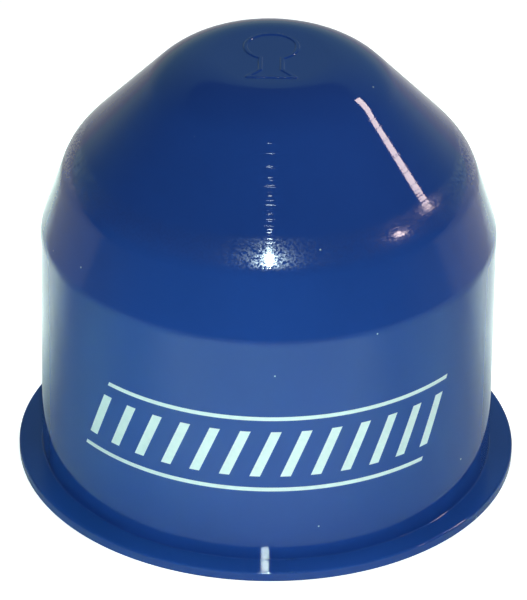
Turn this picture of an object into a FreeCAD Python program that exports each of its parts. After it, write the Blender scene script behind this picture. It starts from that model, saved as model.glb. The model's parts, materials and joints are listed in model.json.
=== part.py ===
"""Tow ball cap: a thin-walled plastic cover that is pushed down over a coupling ball.

The cap is one moulding. Its hollow is drawn round the ball: a straight bore at the ball's
equator, two cones that clear the upper half of the ball, and a flat crown. The wall has the
same thickness all over, and a flat flange stands out round the mouth.

Frame: millimetres, +Z up along the cap's axis, origin at the centre of the mouth, on the
plane that the flange stands on.
"""
import FreeCAD
import Part
import Sketcher

import os
from enum import IntEnum

NODE = "cap"

# Driving dimensions, in millimetres and degrees
DIMENSIONS = (
    ("ball_diameter", 80.0),
    ("side_clearance", 0.5),
    ("cone_clearance", 1.0),
    ("crown_clearance", 2.5),
    ("skirt_depth", 40.0),
    ("wall", 2.0),
    ("upper_cone_angle", 42.8),
    ("lower_cone_angle", 18.0),
    ("crown_round", 14.9),
    ("knee_round", 12.0),
    ("shoulder_round", 4.8),
    ("flange_width", 4.4),
    ("flange_thickness", 2.0),
    ("flange_corner_round", 0.3),
    ("rim_round", 0.4),
    ("mouth_round", 0.5),
)

# How far a profile stands off the hollow
INSIDE = "0"
OUTSIDE = "dims.wall"

EDGE_TOLERANCE = 1e-4


class Axis(IntEnum):
    """Numbers by which a sketch knows its own axes."""

    HORIZONTAL = -1
    VERTICAL = -2


class Vertex(IntEnum):
    """Numbers by which a sketch knows the points of an edge."""

    START = 1
    END = 2
    CENTRE = 3


ORIGIN = (Axis.HORIZONTAL, Vertex.START)


def body_radius(stand_off):
    """Radius of the straight part, as an expression."""
    return f"(dims.ball_diameter / 2 + dims.side_clearance + {stand_off})"


def cap_profile(stand_off):
    """Corners of one half of the section: name, radius, height and rounding, as expressions.

    Both cones touch one circle about the ball's centre, which lies at the skirt's depth.
    """
    straight = body_radius(stand_off)
    upper = "dims.upper_cone_angle"
    lower = "dims.lower_cone_angle"
    mean = f"(({upper} + {lower}) / 2)"
    half_turn = f"(({upper} - {lower}) / 2)"
    reach = f"(dims.ball_diameter / 2 + dims.cone_clearance + {stand_off})"
    rise = f"(dims.ball_diameter / 2 + dims.crown_clearance + {stand_off})"
    shoulder_height = f"dims.skirt_depth + ({reach} - {straight} * cos({lower})) / sin({lower})"
    knee_radius = f"{reach} * cos({mean}) / cos({half_turn})"
    knee_height = f"dims.skirt_depth + {reach} * sin({mean}) / cos({half_turn})"
    crown_radius = f"({reach} - {rise} * sin({upper})) / cos({upper})"
    crown_height = f"dims.skirt_depth + {rise}"
    return (
        ("foot", None, None, None),
        ("mouth", straight, None, None),
        ("shoulder", straight, shoulder_height, f"dims.shoulder_round + {stand_off}"),
        ("knee", knee_radius, knee_height, f"dims.knee_round + {stand_off}"),
        ("crown", crown_radius, crown_height, f"dims.crown_round + {stand_off}"),
        ("top", None, crown_height, None),
    )


def fill_sheet(doc):
    """Write each driving dimension into a cell of its own, under its name."""
    sheet = doc.addObject("Spreadsheet::Sheet", "dims")
    for row, (alias, value) in enumerate(DIMENSIONS, start=1):
        sheet.set(f"A{row}", alias)
        sheet.set(f"B{row}", str(value))
        sheet.setAlias(f"B{row}", alias)
    doc.recompute()
    return sheet


def number(sheet, expression):
    """Value of an expression in millimetres, with zero where there is none."""
    if expression is None:
        return 0.0
    value = sheet.evalExpression(expression)
    return float(getattr(value, "Value", value))


def new_sketch(body, name, role):
    """Add a sketch on one of the body's own origin planes."""
    planes = body.Origin.OriginFeatures
    plane = next(feature for feature in planes if feature.Role == role)
    sketch = body.newObject("Sketcher::SketchObject", name)
    sketch.AttachmentSupport = [(plane, "")]
    sketch.MapMode = "FlatFace"
    return sketch


def bind(sketch, name, constraint, expression):
    """Add a constraint under a name and bind its value."""
    index = sketch.addConstraint(constraint)
    sketch.renameConstraint(index, name)
    sketch.setExpression(f"Constraints.{name}", expression)


def place_corner(sheet, sketch, edge, name, radius, height):
    """Hold the start of an edge at its radius and height, or on the axes."""
    for kind, axis, expression in (
        ("DistanceX", Axis.VERTICAL, radius),
        ("DistanceY", Axis.HORIZONTAL, height),
    ):
        if expression is None:
            sketch.addConstraint(Sketcher.Constraint("PointOnObject", edge, Vertex.START, axis))
            continue
        value = number(sheet, expression)
        constraint = Sketcher.Constraint(kind, *ORIGIN, edge, Vertex.START, value)
        bind(sketch, f"{name}_{kind}", constraint, expression)


def draw_profile(sheet, sketch, corners):
    """Draw the closed outline through the corners and round those that have a rounding."""
    places = [
        FreeCAD.Vector(number(sheet, radius), number(sheet, height), 0)
        for _, radius, height, _ in corners
    ]
    count = len(places)
    for start, end in zip(places, places[1:] + places[:1]):
        sketch.addGeometry(Part.LineSegment(start, end), False)
    for edge in range(count):
        following = (edge + 1) % count
        sketch.addConstraint(
            Sketcher.Constraint("Coincident", edge, Vertex.END, following, Vertex.START))
    for edge, (name, radius, height, _) in enumerate(corners):
        place_corner(sheet, sketch, edge, name, radius, height)
    for edge, (name, _, _, rounding) in enumerate(corners):
        if rounding is None:
            continue
        arc = sketch.GeometryCount
        value = number(sheet, rounding)
        sketch.fillet(edge, Vertex.START, value, True, True)
        bind(sketch, f"{name}_round", Sketcher.Constraint("Radius", arc, value), rounding)


def draw_circle(sheet, sketch, name, radius):
    """Draw a circle about the origin and bind its radius."""
    value = number(sheet, radius)
    centre = FreeCAD.Vector(0, 0, 0)
    axis = FreeCAD.Vector(0, 0, 1)
    circle = sketch.addGeometry(Part.Circle(centre, axis, value), False)
    sketch.addConstraint(Sketcher.Constraint("Coincident", circle, Vertex.CENTRE, *ORIGIN))
    bind(sketch, name, Sketcher.Constraint("Radius", circle, value), radius)


def turn_profile(doc, sheet, body, kind, name, stand_off):
    """Turn the profile about the cap's axis, to add material or to take it away."""
    sketch = new_sketch(body, f"{name}_profile", "XZ_Plane")
    draw_profile(sheet, sketch, cap_profile(stand_off))
    feature = body.newObject(kind, name)
    feature.Profile = sketch
    feature.ReferenceAxis = (sketch, ["V_Axis"])
    feature.Angle = 360
    doc.recompute()
    return feature


def ring_edge(sheet, feature, radius, height):
    """Name the round edge of a feature that has this radius and lies at this height."""
    wanted_radius = number(sheet, radius)
    wanted_height = number(sheet, height)
    for index, edge in enumerate(feature.Shape.Edges, start=1):
        curve = edge.Curve
        if not isinstance(curve, Part.Circle):
            continue
        off_radius = abs(curve.Radius - wanted_radius)
        off_height = abs(curve.Center.z - wanted_height)
        if max(off_radius, off_height) < EDGE_TOLERANCE:
            return f"Edge{index}"
    raise RuntimeError(f"{feature.Label} has no edge at radius {radius}, height {height}")


def round_edges(doc, sheet, body, name, size, places):
    """Round the edges at the given radii and heights of the body as it stands."""
    base = body.Tip
    edges = [ring_edge(sheet, base, radius, height) for radius, height in places]
    fillet = body.newObject("PartDesign::Fillet", name)
    fillet.Base = (base, edges)
    fillet.setExpression("Radius", size)
    doc.recompute()


def turn_shell(doc, sheet, body):
    """Turn the outer form as a full blank, then turn the hollow out of it."""
    blank = turn_profile(doc, sheet, body, "PartDesign::Revolution", "blank", OUTSIDE)
    hollow = turn_profile(doc, sheet, body, "PartDesign::Groove", "hollow", INSIDE)
    if hollow.Shape.Volume >= blank.Shape.Volume:
        raise RuntimeError("the hollow took nothing away")


def add_flange(doc, sheet, body):
    """Stand a flat ring out round the mouth, from the middle of the wall outwards."""
    outer_radius = body_radius(OUTSIDE)
    flange_radius = f"{outer_radius} + dims.flange_width"
    flange_top = "dims.flange_thickness"
    sketch = new_sketch(body, "flange_ring", "XY_Plane")
    draw_circle(sheet, sketch, "rim", flange_radius)
    draw_circle(sheet, sketch, "root", body_radius("dims.wall / 2"))
    flange = body.newObject("PartDesign::Pad", "flange")
    flange.Profile = sketch
    flange.setExpression("Length", flange_top)
    doc.recompute()
    round_edges(doc, sheet, body, "flange_corner_rounding", "dims.flange_corner_round",
                [(outer_radius, flange_top)])
    round_edges(doc, sheet, body, "rim_rounding", "dims.rim_round",
                [(flange_radius, flange_top), (flange_radius, None)])
    round_edges(doc, sheet, body, "mouth_rounding", "dims.mouth_round",
                [(body_radius(INSIDE), None)])


def build_cap(doc, sheet):
    """Build the whole cap as one body."""
    body = doc.addObject("PartDesign::Body", "cap_body")
    body.Label = NODE
    body.Placement = FreeCAD.Placement()
    turn_shell(doc, sheet, body)
    add_flange(doc, sheet, body)
    return body


def check(doc, body):
    """Stop before anything is written if an object failed or the solid isn't sound."""
    failed = [item.Label for item in doc.Objects if {"Invalid", "Error"} & set(item.State)]
    if failed:
        raise RuntimeError(f"failed objects: {failed}")
    shape = body.Shape
    if shape.isNull() or not shape.isValid() or len(shape.Solids) != 1:
        raise RuntimeError(f"{body.Label} isn't one sound solid")


def main():
    """Build the cap, check it and write it."""
    doc = FreeCAD.newDocument("tow_ball_cap")
    sheet = fill_sheet(doc)
    body = build_cap(doc, sheet)
    doc.recompute()
    check(doc, body)
    os.makedirs("parts", exist_ok=True)
    body.Shape.exportStep(f"parts/{body.Label}.step")
    box = body.Shape.optimalBoundingBox()
    print(f"{body.Label}: {box.XLength:.2f} x {box.YLength:.2f} x {box.ZLength:.2f} mm,"
          f" {body.Shape.Volume / 1000:.2f} cm3")


main()
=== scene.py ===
"""Looks of the tow ball cap: the moulded surface, its print, the floor, the light and the camera."""
import json
import math

import bpy
import numpy as np
from mathutils import Matrix, Quaternion, Vector


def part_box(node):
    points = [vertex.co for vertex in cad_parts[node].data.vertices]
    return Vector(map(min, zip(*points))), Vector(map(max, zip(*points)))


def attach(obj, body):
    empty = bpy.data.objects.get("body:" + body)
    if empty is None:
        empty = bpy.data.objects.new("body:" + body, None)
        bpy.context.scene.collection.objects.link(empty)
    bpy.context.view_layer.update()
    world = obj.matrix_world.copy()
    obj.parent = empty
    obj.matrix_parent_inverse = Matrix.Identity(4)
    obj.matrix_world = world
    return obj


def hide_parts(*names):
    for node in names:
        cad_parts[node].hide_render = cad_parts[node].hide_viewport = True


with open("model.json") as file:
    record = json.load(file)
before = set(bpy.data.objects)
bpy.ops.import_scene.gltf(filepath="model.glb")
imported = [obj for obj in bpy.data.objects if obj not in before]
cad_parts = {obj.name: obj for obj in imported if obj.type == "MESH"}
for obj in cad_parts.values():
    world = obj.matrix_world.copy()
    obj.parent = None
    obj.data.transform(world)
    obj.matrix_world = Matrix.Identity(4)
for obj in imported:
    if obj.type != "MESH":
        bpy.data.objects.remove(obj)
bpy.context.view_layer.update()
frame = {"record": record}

MM = 0.001

# Sizes read from the frame
NODE = "cap"
MOUNTS = {mount["name"]: mount for mount in frame["record"]["mounts"]}
BORE_RADIUS = MOUNTS["ball_bore"]["dims"]["r_mm"] * MM
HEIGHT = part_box(NODE)[1].z
FLANGE_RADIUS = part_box(NODE)[1].x

# The cap's section, as in the part's own dimensions
BALL_RADIUS = 40.0 * MM
WALL = 2.0 * MM
SKIRT_DEPTH = 40.0 * MM
CONE_CLEARANCE = 1.0 * MM
UPPER_CONE_ANGLE = math.radians(42.8)
LOWER_CONE_ANGLE = math.radians(18.0)
CROWN_ROUND = 14.9 * MM
KNEE_ROUND = 12.0 * MM
SHOULDER_ROUND = 4.8 * MM
FLANGE_THICKNESS = 2.0 * MM
FLANGE_CORNER_ROUND = 0.3 * MM
RIM_ROUND = 0.4 * MM
MOUTH_ROUND = 0.5 * MM
BODY_RADIUS = BORE_RADIUS + WALL
CENTRE = Vector((0.0, 0.0, HEIGHT / 2))

# How finely the surface is divided
SEGMENTS = 360
ARC_STEP = math.radians(3.0)
MARK_STEP = 0.12 * MM
PLAIN_STEP = 4.0 * MM

# Raised mark on the crown: the outline of a ball on its neck
MARK_RISE = 0.2 * MM
MARK_HALF_WIDTH = 0.24 * MM
MARK_EDGE = 0.22 * MM
MARK_BALL_RADIUS = 4.8 * MM
MARK_BALL_Y = 3.4 * MM
MARK_NECK_HALF_WIDTH = 2.0 * MM
MARK_FOOT_HALF_WIDTH = 4.4 * MM
MARK_NECK_END_Y = -5.4 * MM
MARK_FOOT_Y = -8.2 * MM

# White print on the skirt: slanted bars between two lines
PRINT_LIFT = 0.03 * MM
PRINT_SINK = 0.05 * MM
LINE_HEIGHTS = (17.4 * MM, 32.6 * MM)
LINE_WIDTH = 0.8 * MM
LINE_COLUMNS = 97
BAR_COUNT = 13
BAR_PITCH = math.radians(7.6)
BAR_WIDTH = math.radians(2.6)
BAR_SLANT = math.radians(5.2)
BAR_FOOT = 20.2 * MM
BAR_TOP = 29.8 * MM
BAR_COLUMNS = 4
STRIP_ROWS = 8
PRINT_HEIGHT = (BAR_FOOT + BAR_TOP) / 2

# Camera, from the photograph's own perspective
CAMERA_PLACE = (0.0, -879.0 * MM, 564.4 * MM)
CAMERA_TARGET = (-0.81 * MM, 0.0, 32.06 * MM)
CAMERA_ROLL = 0.0146
CAMERA_SENSOR = 36.0
CAMERA_LENS = 328.5

# In the values below, a scale is how many features of a texture go to the metre, and a fade gives
# the places where a change starts and ends
SMOOTH = "SMOOTHSTEP"
WHITE = (1.0, 1.0, 1.0)

# Blue of the plastic: positions and colours of its cloudy ramp, and painted shade on the flange's
# top
CLOUD_SCALE = 55.0
CLOUD_DETAIL = 4.0
BLUES = ((0.3, (0.0175, 0.064, 0.304)), (0.7, (0.0195, 0.069, 0.326)))
FLANGE_PAINTED_SHADE = 0.82
FLANGE_SHADE_FADE = (0.1 * MM, 0.3 * MM)

# Dust flecks, partly painted glints: their size and their solid core, as shares of the space between
# them
FLECK_SCALE = 140.0
FLECK_SIZE = 0.027
FLECK_CORE = FLECK_SIZE * 0.6
DUST_AND_GLINT_COLOUR = (0.55, 0.68, 0.74)

# Turned lines: fine rings, and narrow grooves further apart, all faint on the skirt. A groove's
# half width is a share of the space between grooves
RING_SCALE = 1700.0
RING_DETAIL = 0.5
RING_DEPTH = 0.0062 * MM
GROOVE_SCALE = 400.0
GROOVE_HALF_WIDTH = 0.05
GROOVE_DEPTH = 0.004 * MM
SKIRT_SHARE = 0.12
SKIRT_FADE = (46.0 * MM, 52.0 * MM)

# Rubbed band round the knee: stronger grain under a dull, speckled film
KNEE_HEIGHT = 63.6 * MM
KNEE_FADE = (1.4 * MM, 2.8 * MM)
GRAIN_SCALE = 2400.0
GRAIN_DETAIL = 0.0
GRAIN_DEPTH = 0.0025 * MM
GRAIN_ELSEWHERE = 0.15
SPECK_SCALE = 2500.0
SPECK_DETAIL = 1.0
SPECK_FADE = (0.4, 0.65)
FILM_ROUGHNESS = 0.22
FILM_IOR = 1.8

# Gloss of the plastic: a noise between the two ends of the fade sets the roughness
GLOSS_SCALE = 160.0
GLOSS_DETAIL = 6.0
GLOSS_FADE = (0.3, 0.7)
GLOSS_ROUGHNESS = (0.03, 0.045)
SPECULAR_LEVEL = 0.32

# White ink
INK_SCALE = 900.0
INK_DETAIL = 3.0
INK_WHITES = ((0.3, (0.86, 0.89, 0.90)), (0.6, (0.92, 0.94, 0.94)))
INK_ROUGHNESS = (0.32, 0.44)
INK_DEPTH = 0.004 * MM

# Floor: a wide ring, open under the cap so that the hollow can be seen from below
FLOOR_RADIUS = 3.5
FLOOR_OPENING = 46.0 * MM
FLOOR_SEGMENTS = 96
FLOOR_DROP = 0.05 * MM
FLOOR_COLOUR = (0.86, 0.87, 0.87)

# Light that the floor gives off: to the camera, and in reflections, from front to back
FLOOR_GLOW = 0.8
MIRRORED_GLOW = (0.05, 0.4)
MIRRORED_FADE = (12.0 * MM, 50.0 * MM)

# Room: its colours, and fades along Y and Z of the direction looked in
ROOM_COLOUR = (0.045, 0.042, 0.045)
UNDER_COLOUR = (0.6, 0.6, 0.6)
UNDER_FADE = (-0.02, -0.15)
BACKDROP_COLOUR = (0.2, 0.37, 0.37)
BACKDROP_SIDE_FADE = (0.1, 0.9)
BACKDROP_TOP_FADE = (0.72, 0.65)
SWEEP_COLOUR = (0.4, 0.54, 0.48)
SWEEP_FADE = (0.3, 0.0)

# Lamps over the camera: name, lowest and highest elevation, width, radiance, and whether they
# light the cap as well as show in its gloss
KEY_COLOUR = (0.75, 0.97, 1.0)
KEY_AZIMUTH = 0.5
KEY_DISTANCE = 1.1
KEY_LAMPS = (
    ("flash", 30.3, 31.7, 0.065, 560.0, False),
    ("key_box", 34.0, 46.0, 0.085, 69.0, True),
    ("key_strip", 46.0, 53.5, 0.04, 46.0, True),
)

# Tubes at the right: name, both ends, width, radiance, and whether they light the cap
TUBE_COLOUR = (1.0, 0.80, 0.75)
TUBES = (
    ("long_tube", (0.286, 0.058, 0.199), (0.196, 0.125, 0.279), 0.026, 21.0, True),
    ("short_tube", (0.290, -0.072, 0.191), (0.272, -0.069, 0.225), 0.022, 26.0, False),
)

# Spots over the floor: azimuth, distance from the axis, reach, the floor's brightness, blend
# and colour
SPOT_HEIGHT = 0.9
SPOT_SOFTNESS = 0.02
PALE_GREEN = (0.73, 1.0, 0.88)
DEEP_GREEN = (0.42, 1.0, 0.9)
SPOTS = (
    (0, 0.17, 0.1234, 1.1, 0.04, PALE_GREEN),
    (42, 0.17, 0.1234, 0.5, 0.04, DEEP_GREEN),
    (75, 0.17, 0.1234, 0.2, 0.04, DEEP_GREEN),
    (135, 0.11, 0.068, 1.0, 0.4, PALE_GREEN),
    (180, 0.11, 0.068, 0.7, 0.4, PALE_GREEN),
    (225, 0.11, 0.068, 1.2, 0.4, PALE_GREEN),
    (290, 0.17, 0.1234, 0.2, 0.04, DEEP_GREEN),
    (318, 0.17, 0.1234, 0.65, 0.04, DEEP_GREEN),
)


# Section of the cap


def shell_corners(stand_off, crown_height):
    """Crown, knee and shoulder corners of a profile that stands off the hollow."""
    reach = BALL_RADIUS + CONE_CLEARANCE + stand_off
    straight = BORE_RADIUS + stand_off
    mean = (UPPER_CONE_ANGLE + LOWER_CONE_ANGLE) / 2
    half_turn = (UPPER_CONE_ANGLE - LOWER_CONE_ANGLE) / 2
    rise = crown_height - SKIRT_DEPTH
    crown_radius = (reach - rise * math.sin(UPPER_CONE_ANGLE)) / math.cos(UPPER_CONE_ANGLE)
    knee_radius = reach * math.cos(mean) / math.cos(half_turn)
    knee_height = SKIRT_DEPTH + reach * math.sin(mean) / math.cos(half_turn)
    shoulder_drop = (reach - straight * math.cos(LOWER_CONE_ANGLE)) / math.sin(LOWER_CONE_ANGLE)
    return [
        (crown_radius, crown_height, CROWN_ROUND + stand_off, PLAIN_STEP),
        (knee_radius, knee_height, KNEE_ROUND + stand_off, PLAIN_STEP),
        (straight, SKIRT_DEPTH + shoulder_drop, SHOULDER_ROUND + stand_off, PLAIN_STEP),
    ]


def section_corners():
    """Corners of the whole section: radius, height, rounding and the step of the run that follows.

    They run from the crown's centre down the outside, round the flange and up the hollow.
    """
    outer_crown = HEIGHT - MARK_RISE
    inner_crown = HEIGHT - WALL
    outside = shell_corners(WALL, outer_crown)
    hollow = shell_corners(0.0, inner_crown)
    return [
        (0.0, outer_crown, 0.0, MARK_STEP),
        *outside,
        (BODY_RADIUS, FLANGE_THICKNESS, FLANGE_CORNER_ROUND, PLAIN_STEP),
        (FLANGE_RADIUS, FLANGE_THICKNESS, RIM_ROUND, PLAIN_STEP),
        (FLANGE_RADIUS, 0.0, RIM_ROUND, PLAIN_STEP),
        (BORE_RADIUS, 0.0, MOUTH_ROUND, PLAIN_STEP),
        *reversed(hollow),
        (0.0, inner_crown, 0.0, PLAIN_STEP),
    ]


def left_of(direction):
    """The direction a quarter turn to the left, which points out of the material."""
    return np.array([-direction[1], direction[0]])


def turned(direction, angle):
    """A direction of the section's plane, turned by an angle."""
    cosine, sine = math.cos(angle), math.sin(angle)
    return np.array([
        cosine * direction[0] - sine * direction[1],
        sine * direction[0] + cosine * direction[1],
    ])


def trace_section(corners):
    """Points and outward normals along the section, with each corner rounded."""
    places = [np.array(corner[:2]) for corner in corners]
    runs = [(end - start) / np.linalg.norm(end - start) for start, end in zip(places, places[1:])]
    points, normals = [places[0]], [left_of(runs[0])]
    for index in range(1, len(places) - 1):
        before, after = runs[index - 1], runs[index]
        turn = math.atan2(before[0] * after[1] - before[1] * after[0], before @ after)
        side = math.copysign(1.0, turn)
        radius = corners[index][2]
        start = places[index] - before * radius * math.tan(abs(turn) / 2)
        add_run(points, normals, start, before, corners[index - 1][3])
        centre = start + side * radius * left_of(before)
        count = max(2, math.ceil(abs(turn) / ARC_STEP))
        for step in range(1, count + 1):
            normal = left_of(turned(before, turn * step / count))
            points.append(centre - side * radius * normal)
            normals.append(normal)
    add_run(points, normals, places[-1], runs[-1], corners[-2][3])
    return np.array(points), np.array(normals)


def add_run(points, normals, end, direction, step):
    """Add evenly spaced points of a straight run, up to and with its end."""
    start = points[-1]
    count = max(1, math.ceil(np.linalg.norm(end - start) / step))
    for index in range(1, count + 1):
        points.append(start + (end - start) * index / count)
        normals.append(left_of(direction))


# Raised mark on the crown


def distance_to_line(x, y, start, end):
    """Distance from points to a straight stroke."""
    along = np.array(end) - np.array(start)
    share = ((x - start[0]) * along[0] + (y - start[1]) * along[1]) / (along @ along)
    share = np.clip(share, 0.0, 1.0)
    return np.hypot(x - start[0] - share * along[0], y - start[1] - share * along[1])


def mark_height(x, y):
    """Height of the raised mark over the crown."""
    neck_top = MARK_BALL_Y - math.sqrt(MARK_BALL_RADIUS**2 - MARK_NECK_HALF_WIDTH**2)
    ring = np.abs(np.hypot(x, y - MARK_BALL_Y) - MARK_BALL_RADIUS)
    gap = (np.abs(x) < MARK_NECK_HALF_WIDTH) & (y < MARK_BALL_Y)
    nearest = np.where(gap, np.inf, ring)
    outline = (
        (MARK_NECK_HALF_WIDTH, neck_top),
        (MARK_NECK_HALF_WIDTH, MARK_NECK_END_Y),
        (MARK_FOOT_HALF_WIDTH, MARK_FOOT_Y),
    )
    for side in (-1, 1):
        for start, end in zip(outline, outline[1:]):
            left, right = (side * start[0], start[1]), (side * end[0], end[1])
            nearest = np.minimum(nearest, distance_to_line(x, y, left, right))
    foot = ((-MARK_FOOT_HALF_WIDTH, MARK_FOOT_Y), (MARK_FOOT_HALF_WIDTH, MARK_FOOT_Y))
    nearest = np.minimum(nearest, distance_to_line(x, y, *foot))
    share = np.clip((MARK_HALF_WIDTH + MARK_EDGE - nearest) / MARK_EDGE, 0.0, 1.0)
    return MARK_RISE * share * share * (3 - 2 * share)


def mark_slope(x, y):
    """Slope of the raised mark along X and Y."""
    reach = MARK_EDGE / 4
    along_x = mark_height(x + reach, y) - mark_height(x - reach, y)
    along_y = mark_height(x, y + reach) - mark_height(x, y - reach)
    return along_x / (2 * reach), along_y / (2 * reach)


# Meshes


def add_object(name, data):
    """Put an object with this data into the scene."""
    item = bpy.data.objects.new(name, data)
    bpy.context.scene.collection.objects.link(item)
    return item


def new_piece(name, vertices, faces, material):
    """Make a mesh piece that rides with the cap."""
    mesh = bpy.data.meshes.new(name)
    mesh.from_pydata(vertices, [], faces)
    mesh.validate()
    mesh.shade_smooth()
    mesh.materials.append(material)
    piece = add_object(name, mesh)
    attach(piece, "root")
    return piece


def ring_faces(first, second):
    """Faces between two rings of vertices, or between a ring and the point on the axis."""
    after_first = np.roll(first, -1)
    after_second = np.roll(second, -1)
    if len(first) == 1:
        return [(first[0], low, low_next) for low, low_next in zip(second, after_second)]
    if len(second) == 1:
        return [(high, second[0], high_next) for high, high_next in zip(first, after_first)]
    return list(zip(first, second, after_second, after_first))


def turned_surface(points, normals):
    """Vertices, normals and faces of the section turned about the axis, with the mark raised."""
    angles = np.arange(SEGMENTS) * (2 * math.pi / SEGMENTS)
    crown_height = points[0][1]
    vertices, directions, faces, previous = [], [], [], None
    for (radius, height), (outward, upward) in zip(points, normals):
        around = angles if radius > 0 else angles[:1]
        x, y = radius * np.cos(around), radius * np.sin(around)
        ring = np.column_stack([x, y, np.full_like(x, height)])
        normal = np.column_stack([
            outward * np.cos(around), outward * np.sin(around), np.full_like(x, upward)])
        if height == crown_height and upward > 0:
            slope_x, slope_y = mark_slope(x, y)
            ring[:, 2] += mark_height(x, y)
            normal[:, 0] -= slope_x
            normal[:, 1] -= slope_y
            normal /= np.linalg.norm(normal, axis=1, keepdims=True)
        indices = len(vertices) + np.arange(len(ring))
        vertices.extend(ring.tolist())
        directions.extend(normal.tolist())
        if previous is not None:
            faces.extend(tuple(int(v) for v in face) for face in ring_faces(previous, indices))
        previous = indices
    return vertices, directions, faces


def make_cap(material):
    """The moulded cap, with its true section and the raised mark."""
    points, normals = trace_section(section_corners())
    vertices, directions, faces = turned_surface(points, normals)
    cap = new_piece("cap_moulding", vertices, faces, material)
    cap.data.normals_split_custom_set_from_vertices(directions)
    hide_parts(NODE)


def film_slab(vertices, faces, angles, heights):
    """Add a thin closed slab that lies on the skirt, from a grid of angles and heights."""
    columns, rows = angles.shape
    first = len(vertices)
    for radius in (BODY_RADIUS + PRINT_LIFT, BODY_RADIUS - PRINT_SINK):
        x, y = radius * np.sin(angles), -radius * np.cos(angles)
        vertices.extend(np.column_stack([x.ravel(), y.ravel(), heights.ravel()]).tolist())

    def at(column, row, layer):
        """Index of a vertex on the outer layer, 0, or the inner one, 1."""
        return first + layer * columns * rows + column * rows + row

    def wall(start, end):
        """Close the edge between two places of the grid."""
        faces.append((at(*start, 1), at(*end, 1), at(*end, 0), at(*start, 0)))

    for column in range(columns - 1):
        for row in range(rows - 1):
            corners = ((column, row), (column + 1, row), (column + 1, row + 1), (column, row + 1))
            faces.append(tuple(at(*corner, 0) for corner in corners))
            faces.append(tuple(at(*corner, 1) for corner in reversed(corners)))
        wall((column, 0), (column + 1, 0))
        wall((column + 1, rows - 1), (column, rows - 1))
    for row in range(rows - 1):
        wall((0, row + 1), (0, row))
        wall((columns - 1, row), (columns - 1, row + 1))


def slanted_strip(vertices, faces, middle, width, foot, top, columns):
    """Add a strip of print between two heights whose ends slant as the bars do."""
    across = np.linspace(-width / 2, width / 2, columns)
    heights = np.linspace(foot, top, STRIP_ROWS)
    lean = BAR_SLANT * (heights - PRINT_HEIGHT) / (BAR_TOP - BAR_FOOT)
    angles = middle + across[:, None] + lean[None, :]
    film_slab(vertices, faces, angles, np.broadcast_to(heights, angles.shape))


def make_print(material):
    """White print at the front of the skirt: a row of slanted bars between two lines."""
    vertices, faces = [], []
    reach = (BAR_COUNT - 1) * BAR_PITCH + BAR_WIDTH
    for height in LINE_HEIGHTS:
        foot, top = height - LINE_WIDTH / 2, height + LINE_WIDTH / 2
        slanted_strip(vertices, faces, 0.0, reach, foot, top, LINE_COLUMNS)
    for index in range(BAR_COUNT):
        middle = (index - (BAR_COUNT - 1) / 2) * BAR_PITCH
        slanted_strip(vertices, faces, middle, BAR_WIDTH, BAR_FOOT, BAR_TOP, BAR_COLUMNS)
    piece = new_piece("white_print", vertices, faces, material)
    piece.data.shade_flat()


# Materials


def new_material(name):
    """A node material, with its node tree and principled shader."""
    material = bpy.data.materials.new(name)
    material.use_nodes = True
    return material, material.node_tree, material.node_tree.nodes["Principled BSDF"]


def opaque(colour):
    """A plain colour with its alpha."""
    return (*colour, 1.0)


def set_inputs(tree, node, inputs):
    """Feed a node's inputs, each from another node's output or with a plain value."""
    for key, value in inputs.items():
        if isinstance(value, bpy.types.NodeSocket):
            tree.links.new(value, node.inputs[key])
        else:
            node.inputs[key].default_value = value


def add_node(tree, kind, inputs=None, **settings):
    """Add a node, with its settings and what feeds its inputs."""
    node = tree.nodes.new(kind)
    for key, value in settings.items():
        setattr(node, key, value)
    set_inputs(tree, node, inputs or {})
    return node


def add_math(tree, operation, *values):
    """Add a calculation and give its result."""
    node = add_node(tree, "ShaderNodeMath", dict(enumerate(values)), operation=operation)
    return node.outputs["Value"]


def add_range(tree, value, start, end, low=0.0, high=1.0, blend="LINEAR"):
    """Turn a value that goes from start to end into one that goes from low to high."""
    inputs = {"Value": value, "From Min": start, "From Max": end, "To Min": low, "To Max": high}
    node = add_node(tree, "ShaderNodeMapRange", inputs, interpolation_type=blend)
    return node.outputs["Result"]


def add_mix(tree, share, first, second):
    """Mix two colours by the share of the second."""
    inputs = {"Factor": share, "A": first, "B": second}
    return add_node(tree, "ShaderNodeMix", inputs, data_type="RGBA").outputs["Result"]


def add_ramp(tree, value, stops):
    """Turn a value into a colour between two stops, each a position and a colour."""
    node = add_node(tree, "ShaderNodeValToRGB", {"Fac": value})
    for element, (position, colour) in zip(node.color_ramp.elements, stops):
        element.position = position
        element.color = opaque(colour)
    return node.outputs["Color"]


def add_noise(tree, place, scale, detail):
    """Add a noise in space."""
    inputs = {"Vector": place, "Scale": scale, "Detail": detail}
    return add_node(tree, "ShaderNodeTexNoise", inputs).outputs["Fac"]


def add_bump(tree, height, depth, strength=1.0, normal=None):
    """Add a bump of a height field on the surface, or on another bump, and give its normal."""
    inputs = {"Strength": strength, "Distance": depth, "Height": height}
    if normal is not None:
        inputs["Normal"] = normal
    return add_node(tree, "ShaderNodeBump", inputs).outputs["Normal"]


def distance_from(tree, value, level):
    """How far a value lies from a level, on either side."""
    return add_math(tree, "ABSOLUTE", add_math(tree, "SUBTRACT", value, level))


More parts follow.
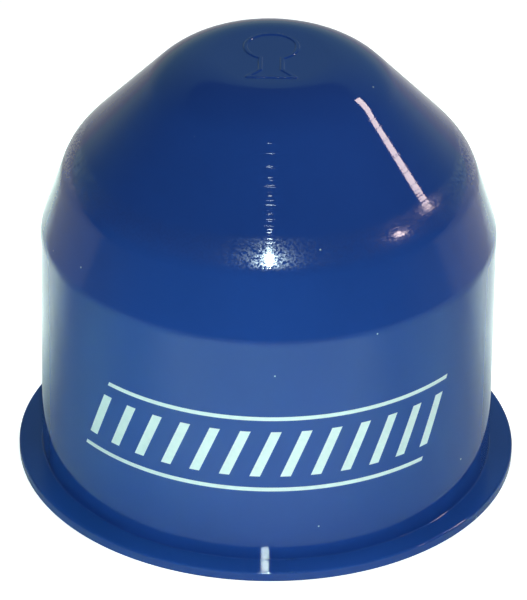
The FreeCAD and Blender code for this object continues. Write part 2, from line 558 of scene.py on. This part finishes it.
def plastic_colour(tree, place, height):
    """Slightly cloudy blue, dust flecks partly painted as glints, painted shade on the flange's top.
    """
    blue = add_ramp(tree, add_noise(tree, place, CLOUD_SCALE, CLOUD_DETAIL), BLUES)
    # Pale flecks: dust, and painted glints where the pale colour stands in for light caught on dust
    # and pits
    flecks = add_node(tree, "ShaderNodeTexVoronoi", {"Vector": place, "Scale": FLECK_SCALE})
    fleck = add_range(tree, flecks.outputs["Distance"], FLECK_SIZE, FLECK_CORE)
    dust_and_glints = add_mix(tree, fleck, blue, opaque(DUST_AND_GLINT_COLOUR))
    # Painted shade: the colour is darkened on the flange's top, near its corner with the wall
    off_flange = distance_from(tree, height, FLANGE_THICKNESS)
    shade = add_range(tree, off_flange, *FLANGE_SHADE_FADE, FLANGE_PAINTED_SHADE, 1.0)
    inputs = {"Vector": dust_and_glints, "Scale": shade}
    return add_node(tree, "ShaderNodeVectorMath", inputs, operation="SCALE").outputs["Vector"]


def turned_lines(tree, place, height):
    """Normal of the fine rings and the grooves that run round the cap.

    They follow the height less the radius, which changes along the crown as well as the sides.
    """
    inputs = {0: place, 1: (1.0, 1.0, 0.0)}
    flat = add_node(tree, "ShaderNodeVectorMath", inputs, operation="MULTIPLY").outputs["Vector"]
    radius = add_node(tree, "ShaderNodeVectorMath", {0: flat}, operation="LENGTH").outputs["Value"]
    along = add_math(tree, "SUBTRACT", height, radius)
    strength = add_range(tree, height, *SKIRT_FADE, SKIRT_SHARE, 1.0)
    inputs = {"W": along, "Scale": RING_SCALE, "Detail": RING_DETAIL}
    rings = add_node(tree, "ShaderNodeTexNoise", inputs, noise_dimensions="1D")
    ringed = add_bump(tree, rings.outputs["Fac"], RING_DEPTH, strength)
    inputs = {"W": along, "Scale": GROOVE_SCALE}
    grooves = add_node(tree, "ShaderNodeTexVoronoi", inputs, voronoi_dimensions="1D")
    groove = add_range(tree, grooves.outputs["Distance"], 0.0, GROOVE_HALF_WIDTH, blend=SMOOTH)
    return add_bump(tree, groove, GROOVE_DEPTH, strength, ringed)


def knee_film(tree, place, rubbed):
    """Weight of the dull, speckled film that lies on the rubbed knee only."""
    share = add_range(tree, rubbed, GRAIN_ELSEWHERE, 1.0)
    specks = add_noise(tree, place, SPECK_SCALE, SPECK_DETAIL)
    return add_math(tree, "MULTIPLY", share, add_range(tree, specks, *SPECK_FADE))


def plastic_material():
    """Glossy blue plastic with fine turned rings, narrow grooves and a rubbed, grainy knee."""
    material, tree, shader = new_material("blue_plastic_moulded")
    place = add_node(tree, "ShaderNodeTexCoord").outputs["Object"]
    height = add_node(tree, "ShaderNodeSeparateXYZ", {"Vector": place}).outputs["Z"]
    off_knee = distance_from(tree, height, KNEE_HEIGHT)
    rubbed = add_range(tree, off_knee, *KNEE_FADE, 1.0, GRAIN_ELSEWHERE, SMOOTH)
    grain = add_noise(tree, place, GRAIN_SCALE, GRAIN_DETAIL)
    haze = add_noise(tree, place, GLOSS_SCALE, GLOSS_DETAIL)
    set_inputs(tree, shader, {
        "Base Color": plastic_colour(tree, place, height),
        "Normal": add_bump(tree, grain, GRAIN_DEPTH, rubbed, turned_lines(tree, place, height)),
        "Roughness": add_range(tree, haze, *GLOSS_FADE, *GLOSS_ROUGHNESS),
        "Specular IOR Level": SPECULAR_LEVEL,
        "Coat Weight": knee_film(tree, place, rubbed),
        "Coat Roughness": FILM_ROUGHNESS,
        "Coat IOR": FILM_IOR,
    })
    return material


def print_material():
    """White print: slightly uneven ink with a dull gloss."""
    material, tree, shader = new_material("white_ink")
    place = add_node(tree, "ShaderNodeTexCoord").outputs["Object"]
    grain = add_noise(tree, place, INK_SCALE, INK_DETAIL)
    set_inputs(tree, shader, {
        "Base Color": add_ramp(tree, grain, INK_WHITES),
        "Roughness": add_range(tree, grain, 0.0, 1.0, *INK_ROUGHNESS),
        "Normal": add_bump(tree, grain, INK_DEPTH),
    })
    return material


# Floor, light and camera


def floor_material():
    """Pale floor that shows as white and keeps the shadow; it isn't there from below.

    In reflections it also glows, more so behind the cap than in front of it.
    """
    material, tree, shader = new_material("pale_floor")
    tree.nodes.remove(shader)
    path = add_node(tree, "ShaderNodeLightPath").outputs
    surface = add_node(tree, "ShaderNodeNewGeometry").outputs
    place = add_node(tree, "ShaderNodeSeparateXYZ", {"Vector": surface["Position"]}).outputs
    seen = add_math(tree, "MAXIMUM", path["Is Camera Ray"], path["Is Transmission Ray"])
    white = add_math(tree, "MULTIPLY", seen, FLOOR_GLOW)
    mirrored = add_range(tree, place["Y"], *MIRRORED_FADE, *MIRRORED_GLOW, SMOOTH)
    strength = add_math(tree, "MULTIPLY_ADD", path["Is Glossy Ray"], mirrored, white)
    paper = add_node(tree, "ShaderNodeBsdfDiffuse", {"Color": opaque(FLOOR_COLOUR)})
    glow = add_node(tree, "ShaderNodeEmission", {"Color": opaque(WHITE), "Strength": strength})
    inputs = {0: paper.outputs["BSDF"], 1: glow.outputs["Emission"]}
    both = add_node(tree, "ShaderNodeAddShader", inputs)
    clear = add_node(tree, "ShaderNodeBsdfTransparent")
    inputs = {0: surface["Backfacing"], 1: both.outputs["Shader"], 2: clear.outputs["BSDF"]}
    choice = add_node(tree, "ShaderNodeMixShader", inputs)
    set_inputs(tree, tree.nodes["Material Output"], {"Surface": choice.outputs["Shader"]})
    return material


def make_floor():
    """The floor that the cap stands on."""
    angles = np.arange(FLOOR_SEGMENTS) * (2 * math.pi / FLOOR_SEGMENTS)
    vertices = [
        (radius * math.cos(angle), radius * math.sin(angle), -FLOOR_DROP)
        for radius in (FLOOR_OPENING, FLOOR_RADIUS) for angle in angles
    ]
    inner = np.arange(FLOOR_SEGMENTS)
    faces = ring_faces(inner, inner + FLOOR_SEGMENTS)
    mesh = bpy.data.meshes.new("floor")
    mesh.from_pydata(vertices, [], [tuple(int(v) for v in face) for face in faces])
    mesh.materials.append(floor_material())
    floor = add_object("floor", mesh)


def make_world():
    """Dim room, paler from below, with a backdrop behind the cap that only reflections show.

    The backdrop ends some way up, and near the horizon it grows paler, like a sweep of paper.
    """
    world = bpy.data.worlds.new("room")
    bpy.context.scene.world = world
    world.use_nodes = True
    tree = world.node_tree
    place = add_node(tree, "ShaderNodeTexCoord").outputs["Generated"]
    look = add_node(tree, "ShaderNodeSeparateXYZ", {"Vector": place}).outputs
    glossy = add_node(tree, "ShaderNodeLightPath").outputs["Is Glossy Ray"]
    under = add_range(tree, look["Z"], *UNDER_FADE)
    room = add_mix(tree, under, opaque(ROOM_COLOUR), opaque(UNDER_COLOUR))
    low = add_range(tree, look["Z"], *SWEEP_FADE, blend=SMOOTH)
    backdrop = add_mix(tree, low, opaque(BACKDROP_COLOUR), opaque(SWEEP_COLOUR))
    behind = add_range(tree, look["Y"], *BACKDROP_SIDE_FADE, blend=SMOOTH)
    below_top = add_range(tree, look["Z"], *BACKDROP_TOP_FADE, blend=SMOOTH)
    share = add_math(tree, "MULTIPLY", add_math(tree, "MULTIPLY", behind, below_top), glossy)
    set_inputs(tree, tree.nodes["Background"], {"Color": add_mix(tree, share, room, backdrop)})


def direction_to(azimuth, elevation):
    """Direction from the cap. Azimuth 0 is towards the camera, 90 to the right."""
    turn, tilt = math.radians(azimuth), math.radians(elevation)
    return Vector((
        math.cos(tilt) * math.sin(turn), -math.cos(tilt) * math.cos(turn), math.sin(tilt)))


def make_tube(name, first, second, width, radiance, colour, lights_cap):
    """A flat strip lamp that faces the cap and runs from one point to another."""
    long_axis = (second - first).normalized()
    middle = (first + second) / 2
    back = middle - CENTRE
    back = (back - back.project(long_axis)).normalized()
    side = long_axis.cross(back)
    data = bpy.data.lights.new(name, "AREA")
    data.shape = "RECTANGLE"
    data.size = width
    data.size_y = (second - first).length
    data.energy = radiance * math.pi * data.size * data.size_y
    data.color = colour
    lamp = add_object(name, data)
    lamp.location = middle
    lamp.rotation_mode = "QUATERNION"
    lamp.rotation_quaternion = Matrix((side, long_axis, back)).transposed().to_quaternion()
    lamp.visible_camera = False
    lamp.visible_diffuse = lights_cap


def make_floor_spot(azimuth, ring, reach, radiance, blend, colour):
    """A spot lamp that shines straight down on the floor beside the cap."""
    name = f"floor_spot_{azimuth}"
    data = bpy.data.lights.new(name, "SPOT")
    data.energy = 4 * math.pi * SPOT_HEIGHT**2 * math.pi * radiance
    data.spot_size = 2 * math.atan2(reach, SPOT_HEIGHT)
    data.spot_blend = blend
    data.color = colour
    data.shadow_soft_size = SPOT_SOFTNESS
    lamp = add_object(name, data)
    lamp.location = ring * direction_to(azimuth, 0.0)
    lamp.location.z = SPOT_HEIGHT


def make_lamps():
    """A flash, a box and a strip over the camera, two tubes at the right and spots on the floor."""
    for name, lowest, highest, width, radiance, lights_cap in KEY_LAMPS:
        first = CENTRE + KEY_DISTANCE * direction_to(KEY_AZIMUTH, lowest)
        second = CENTRE + KEY_DISTANCE * direction_to(KEY_AZIMUTH, highest)
        make_tube(name, first, second, width, radiance, KEY_COLOUR, lights_cap)
    for name, first, second, width, radiance, lights_cap in TUBES:
        make_tube(name, Vector(first), Vector(second), width, radiance, TUBE_COLOUR, lights_cap)
    for spot in SPOTS:
        make_floor_spot(*spot)


def make_camera():
    """The camera at the photograph's viewing angle."""
    data = bpy.data.cameras.new("camera")
    data.sensor_width = CAMERA_SENSOR
    data.lens = CAMERA_LENS
    camera = add_object("camera", data)
    camera.location = CAMERA_PLACE
    aim = (Vector(CAMERA_TARGET) - Vector(CAMERA_PLACE)).to_track_quat("-Z", "Y")
    camera.rotation_mode = "QUATERNION"
    camera.rotation_quaternion = aim @ Quaternion((0.0, 0.0, 1.0), CAMERA_ROLL)
    bpy.context.scene.camera = camera


make_cap(plastic_material())
make_print(print_material())
make_floor()
make_world()
make_lamps()
make_camera()
bpy.context.scene.view_settings.view_transform = "Standard"
